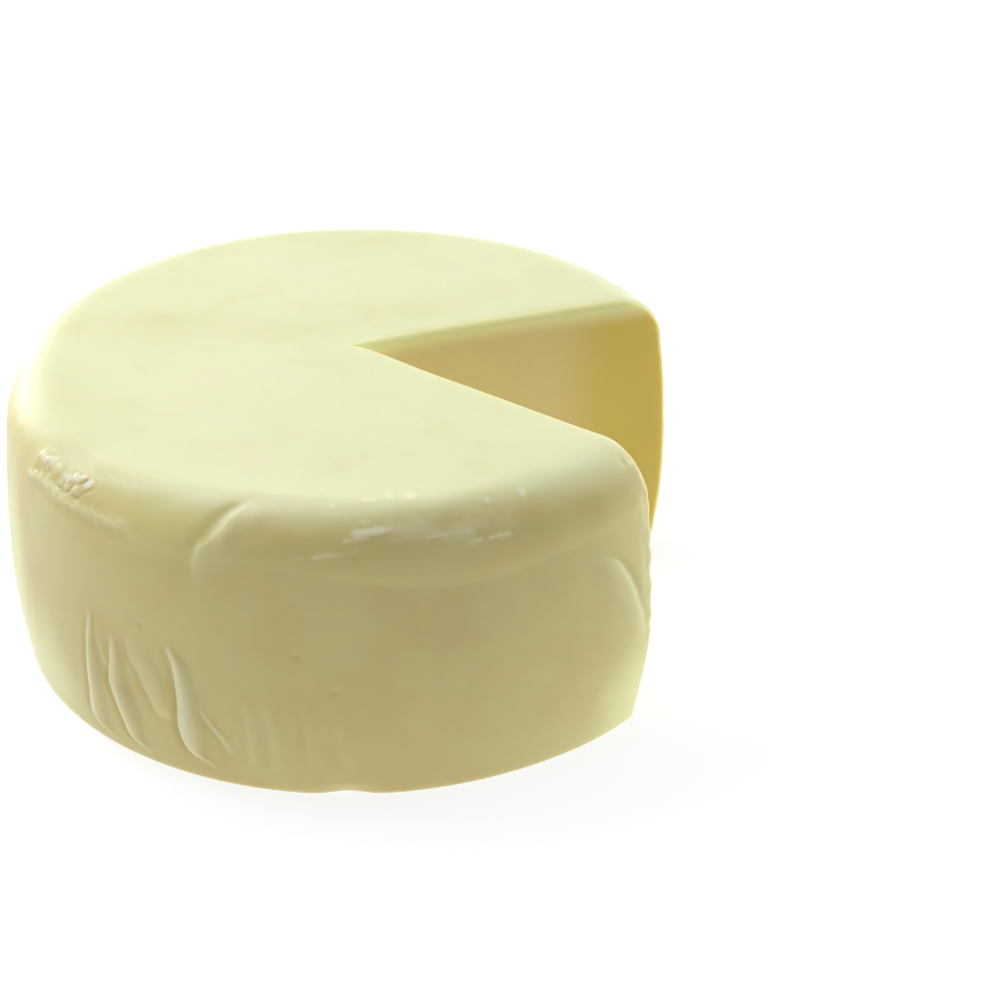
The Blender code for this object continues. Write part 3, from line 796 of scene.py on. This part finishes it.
class Finish:
    """The nodes of a material or of the surroundings."""

    def __init__(self, owner):
        owner.use_nodes = True
        self.tree = owner.node_tree

    def node(self, kind, settings, sockets, output=0):
        """Adds a node, makes its settings, then fills its sockets, and returns one of its outputs."""
        made = self.tree.nodes.new(kind)
        for name, value in settings.items():
            setattr(made, name, value)
        self.fill(made, sockets)
        return Socket(self, made.outputs[output])

    def fill(self, made, sockets):
        """Puts a value or a link in each named socket of a node."""
        for name, value in sockets.items():
            if isinstance(value, Socket):
                self.tree.links.new(value.output, made.inputs[name])
            else:
                made.inputs[name].default_value = value

    def step(self, value, low, high):
        """0 below low, 1 above high, and an even S between them."""
        ends = {"Value": value, "From Min": low, "From Max": high}
        return self.node("ShaderNodeMapRange", {"interpolation_type": "SMOOTHSTEP"}, ends)

    def blend(self, share, first, second):
        """One colour turning into another."""
        return self.node("ShaderNodeMix", {"data_type": "RGBA"}, {0: share, 6: first, 7: second}, 2)

    def noise(self, place, size, detail, roughness):
        """Cloudy values about 0.5, in clouds of about this size in metres."""
        sockets = {"Vector": place, "Scale": 1.0 / size, "Detail": detail, "Roughness": roughness}
        return self.node("ShaderNodeTexNoise", {}, sockets)


TOP_COLOUR = (0.80, 0.81, 0.50, 1.0)
TOP_WARM = (0.815, 0.808, 0.515, 1.0)
TOP_OLIVE = (0.74, 0.73, 0.39, 1.0)
# the side's tan, deeper than the top's cream, is painted shade: the darker, more saturated look of the shaded
# side
SHADED_SIDE_COLOUR = (0.768, 0.688, 0.308, 1.0)
SHADED_SIDE_WARM = (0.765, 0.65, 0.285, 1.0)
SIDE_PAINTED_LIGHT = (0.90, 0.87, 0.43, 1.0)
CUT_COLOUR = (0.81, 0.695, 0.32, 1.0)
CUT_WARM = (0.82, 0.665, 0.295, 1.0)
CUT_SHADE_YELLOW = (0.765, 0.60, 0.12, 1.0)
CUT_PAINTED_GLOW = (0.98, 0.95, 0.53, 1.0)
PALE_AND_LIT_COLOUR = (0.90, 0.88, 0.60, 1.0)
SMEAR_HIGHLIGHT_COLOUR = (0.97, 0.92, 0.66, 1.0)
GLINT_COLOUR = (0.96, 0.94, 0.82, 1.0)
CRACK_SHADE_COLOUR = (0.55, 0.47, 0.25, 1.0)
LIGHT_REACH = (1.0, 0.8, 0.45)      # how far red, green and blue light goes in, against each other
LIGHT_DEPTH = 3.0 * MM
TOP_SLOPES = (0.5, 0.98)            # how far upward the skin faces where the top's colour starts and is full
CUT_TOP_SLOPES = (0.85, 1.0)        # the same beside a cut
CUT_GLOW_FROM = 0.91 * HEIGHT       # the cut faces are painted paler from here to their top edge, as a painted glow of light through it
CUT_GLOW_LOWER = 0.02 * HEIGHT      # and from this much lower where they carry the painted yellow shade
CUT_GLOW_FULL = 0.985 * HEIGHT
CLOUD_SIZE = 45.0 * MM
PATCH_SIZE = 18.0 * MM
STREAK_SIZE = 4.5 * MM
STREAK_TURN = math.radians(-24.0)
STREAK_DRAWN = (0.16, 1.0, 1.0)     # the streaks are drawn out along the cloth
GRAIN_SIZE = 1.1 * MM
PORE_SIZE = 3.8 * MM
GRAIN_DEPTH = 0.12 * MM
SHINE_SIZE = 10.0 * MM

cheese = bpy.data.materials.new("pale_cheese")
finish = Finish(cheese)
place = finish.node("ShaderNodeTexCoord", {}, {}, "Object")
facing = finish.node("ShaderNodeTexCoord", {}, {}, "Normal")
upward = finish.node("ShaderNodeSeparateXYZ", {}, {"Vector": facing}, "Z")


def marked(name):
    """One of the shares stored with the skin."""
    return finish.node("ShaderNodeAttribute", {"attribute_name": name}, {}, "Fac")


is_cut, is_notch_shade, is_olive, is_wet_and_glint = (marked(name) for name in ("cut_face", "notch_shade", "stain", "wet_and_glint"))
is_smeared_and_highlit, is_torn, is_shaded_crack, is_pale = (marked(name) for name in ("smear_and_highlight", "torn", "crack_and_shade", "pale"))
is_painted_light = marked("painted_light")
# painted shade: the side's tan takes over from the top's cream where the skin turns away from facing upward
top_starts, top_full = (is_cut * (cut - low) + low for low, cut in zip(TOP_SLOPES, CUT_TOP_SLOPES))
on_top = finish.step(upward, top_starts, top_full)

clouds = finish.noise(place, CLOUD_SIZE, 3.0, 0.55)
patches = finish.noise(place, PATCH_SIZE, 2.0, 0.5)
drawn_out = {"Vector": place, "Rotation": (0.0, 0.0, STREAK_TURN), "Scale": STREAK_DRAWN}
streaks = finish.noise(finish.node("ShaderNodeMapping", {}, drawn_out), STREAK_SIZE, 3.0, 0.6)
top = finish.blend(finish.step(clouds, 0.42, 0.62), TOP_COLOUR, TOP_WARM)
top = finish.blend(finish.step(patches, 0.52, 0.75) * 0.4 + is_olive * 0.45, top, TOP_OLIVE)
top = finish.blend(finish.step(streaks, 0.55, 0.75) * 0.22, top, TOP_OLIVE)
side = finish.blend(finish.step(patches, 0.4, 0.65), SHADED_SIDE_COLOUR, SHADED_SIDE_WARM)
# painted light: the lower side away from the front and the slant are painted paler
side = finish.blend(is_painted_light, side, SIDE_PAINTED_LIGHT)
cut = finish.blend(finish.step(clouds, 0.4, 0.6), CUT_COLOUR, CUT_WARM)
# painted shade: deeper yellow towards the rim of the cut faces
cut = finish.blend(is_notch_shade, cut, CUT_SHADE_YELLOW)
above_board = finish.node("ShaderNodeSeparateXYZ", {}, {"Vector": place}, "Z")
# painted light: the cuts' top edges are painted paler, as a glow of light through the edge
pale_from = CUT_GLOW_FROM - is_notch_shade * CUT_GLOW_LOWER
cut = finish.blend(finish.step(above_board, pale_from, CUT_GLOW_FULL), cut, CUT_PAINTED_GLOW)
colour = finish.blend(is_cut, side, cut)
colour = finish.blend(on_top, colour, top)
# partly painted light: the folds, crease and lip are painted paler as light, while the torn patch, the
# crease's flecks and the knife's crumbs are paler skin
colour = finish.blend(is_pale * 0.8, colour, PALE_AND_LIT_COLOUR)
# painted highlight: the smears and the drops on the top's edge are painted whitish
colour = finish.blend(is_smeared_and_highlit, colour, SMEAR_HIGHLIGHT_COLOUR)
# painted highlight: the wet flakes are painted whitish, over their real gloss
colour = finish.blend(is_wet_and_glint * 0.9, colour, GLINT_COLOUR)
# painted shade in the cracks and crevices
colour = finish.blend(is_shaded_crack * 0.5, colour, CRACK_SHADE_COLOUR)

grain = finish.noise(place, GRAIN_SIZE, 3.0, 0.6)
pores = finish.noise(place, PORE_SIZE, 2.0, 0.5)
height = grain * 0.25 + pores * 0.5 + is_torn * grain * 1.5
shading = finish.node("ShaderNodeBump", {}, {"Height": height, "Distance": GRAIN_DEPTH, "Strength": 0.6})
shine = finish.noise(place, SHINE_SIZE, 3.0, 0.6)
roughness = 0.40 + shine * 0.14 - is_wet_and_glint * 0.30 - is_torn * 0.10 - is_smeared_and_highlit * 0.12
shader = finish.tree.nodes["Principled BSDF"]
finish.fill(shader, {
    "Base Color": colour,
    "Roughness": roughness,
    "IOR": 1.44,
    "Subsurface Weight": 1.0,
    "Subsurface Radius": LIGHT_REACH,
    "Subsurface Scale": LIGHT_DEPTH,
    "Sheen Weight": 0.2,
    "Sheen Roughness": 0.35,
    "Normal": shading,
})

skin.materials.append(cheese)
wheel = bpy.data.objects.new("cheese_body", skin)
bpy.context.scene.collection.objects.link(wheel)
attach(wheel, "root")
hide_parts("cheese_wheel")


# The floor
#
# A plain white sheet of board, larger than the picture.

FLOOR_HALF = 3.0
FLOOR_COLOUR = (0.2, 0.2, 0.2, 1.0)
FLOOR_GLOW = 0.85

board = bpy.data.meshes.new("floor")
corners = ((-1.0, -1.0), (1.0, -1.0), (1.0, 1.0), (-1.0, 1.0))
board.from_pydata([(a * FLOOR_HALF, b * FLOOR_HALF, 0.0) for a, b in corners], [], [(0, 1, 2, 3)])
white = bpy.data.materials.new("white_board")
paper = Finish(white)
paper.fill(paper.tree.nodes["Principled BSDF"], {
    "Base Color": FLOOR_COLOUR,
    "Roughness": 0.9,
    "Specular IOR Level": 0.0,
    "Emission Color": (1.0, 1.0, 1.0, 1.0),
    "Emission Strength": FLOOR_GLOW,
})
board.materials.append(white)
floor = bpy.data.objects.new("floor", board)
bpy.context.scene.collection.objects.link(floor)
floor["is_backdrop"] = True


# The camera
#
# It looks down at the front from the angle of the picture, with the wheel left of the middle.

CAMERA_AZIMUTH = math.radians(12.45)
CAMERA_ELEVATION = math.radians(28.69)
CAMERA_DISTANCE = 0.70
CAMERA_ROLL = math.radians(1.54)
PICTURE_SIZE = 1000.0
FOCAL_PIXELS = 2353.5
WHEEL_PIXEL = (360.1, 475.4)        # where the middle of the wheel comes in the picture
WHEEL_MIDDLE = Vector((AXIS_X, 0.0, HEIGHT / 2))

back = Vector((
    math.sin(CAMERA_AZIMUTH) * math.cos(CAMERA_ELEVATION),
    -math.cos(CAMERA_AZIMUTH) * math.cos(CAMERA_ELEVATION),
    math.sin(CAMERA_ELEVATION),
))
right = (WHEEL_PIXEL[0] - PICTURE_SIZE / 2) / FOCAL_PIXELS
down = (WHEEL_PIXEL[1] - PICTURE_SIZE / 2) / FOCAL_PIXELS
yaw = math.atan2(right, 1.0)
pitch = math.atan2(-down, math.hypot(1.0, right))
aim = (-back).to_track_quat("-Z", "Y").to_matrix()
aim = aim @ Matrix.Rotation(-pitch, 3, "X") @ Matrix.Rotation(yaw, 3, "Y")
aim = aim @ Matrix.Rotation(-CAMERA_ROLL, 3, "Z")

lens = bpy.data.cameras.new("camera")
lens.sensor_width = 36.0
lens.lens = FOCAL_PIXELS / PICTURE_SIZE * lens.sensor_width
camera = bpy.data.objects.new("camera", lens)
camera.matrix_world = Matrix.Translation(WHEEL_MIDDLE + back * CAMERA_DISTANCE) @ aim.to_4x4()
bpy.context.scene.collection.objects.link(camera)
bpy.context.scene.camera = camera


# The light
#
# A white room, bright behind, less so overhead and at both sides, and dim in front, so that the front
# of the wheel lies in its own shade. Two cool soft boxes stand low behind it at the left and the
# right and light its rims, and two white ones hang above it.

ROOM_BACK = 0.7
ROOM_ARCH = 0.4
ROOM_FRONT = 0.12
ROOM_TURNS = (-0.9, -0.3, 0.15)     # how far forward the back ends, the arch is reached, the front begins
WHITE_LIGHT = (1.0, 1.0, 1.0)
COOL_LIGHT = (0.82, 0.96, 1.0)
LAMPS = (                           # name, place, size, power and colour of each soft box
    ("low_left_box", Vector((-0.92, 0.78, 0.12)), 0.4, 5.0, COOL_LIGHT),
    ("high_left_box", Vector((-0.64, 0.06, 1.0)), 0.4, 5.5, WHITE_LIGHT),
    ("low_right_box", Vector((1.05, 0.56, 0.14)), 0.4, 8.6, COOL_LIGHT),
    ("top_box", Vector((-0.05, 0.15, 1.1)), 0.8, 4.8, WHITE_LIGHT),
)

room = Finish(bpy.data.worlds.new("white_room"))
heading = room.node("ShaderNodeTexCoord", {}, {}, "Generated")
forward = {0: heading, 1: (back.x, back.y, 0.0)}
ahead = room.node("ShaderNodeVectorMath", {"operation": "DOT_PRODUCT"}, forward, "Value")
behind, overhead, before = ROOM_TURNS
to_arch = room.step(ahead, behind, overhead) * (ROOM_ARCH - ROOM_BACK)
to_front = room.step(ahead, overhead, before) * (ROOM_FRONT - ROOM_ARCH)
strength = ROOM_BACK + to_arch + to_front
glow = room.node("ShaderNodeBackground", {}, {"Color": (1.0, 1.0, 1.0, 1.0), "Strength": strength})
surroundings = room.tree.nodes["World Output"]
room.tree.links.new(glow.output, surroundings.inputs["Surface"])
bpy.context.scene.world = bpy.data.worlds["white_room"]
bpy.context.scene.view_settings.view_transform = "Standard"

for name, lamp_place, size, power, lamp_colour in LAMPS:
    box = bpy.data.lights.new(name, "AREA")
    box.shape = "SQUARE"
    box.size = size
    box.energy = power
    box.color = lamp_colour
    lamp = bpy.data.objects.new(name, box)
    lamp.location = lamp_place
    lamp.rotation_euler = (WHEEL_MIDDLE - lamp_place).to_track_quat("-Z", "Y").to_euler()
    bpy.context.scene.collection.objects.link(lamp)


low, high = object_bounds()
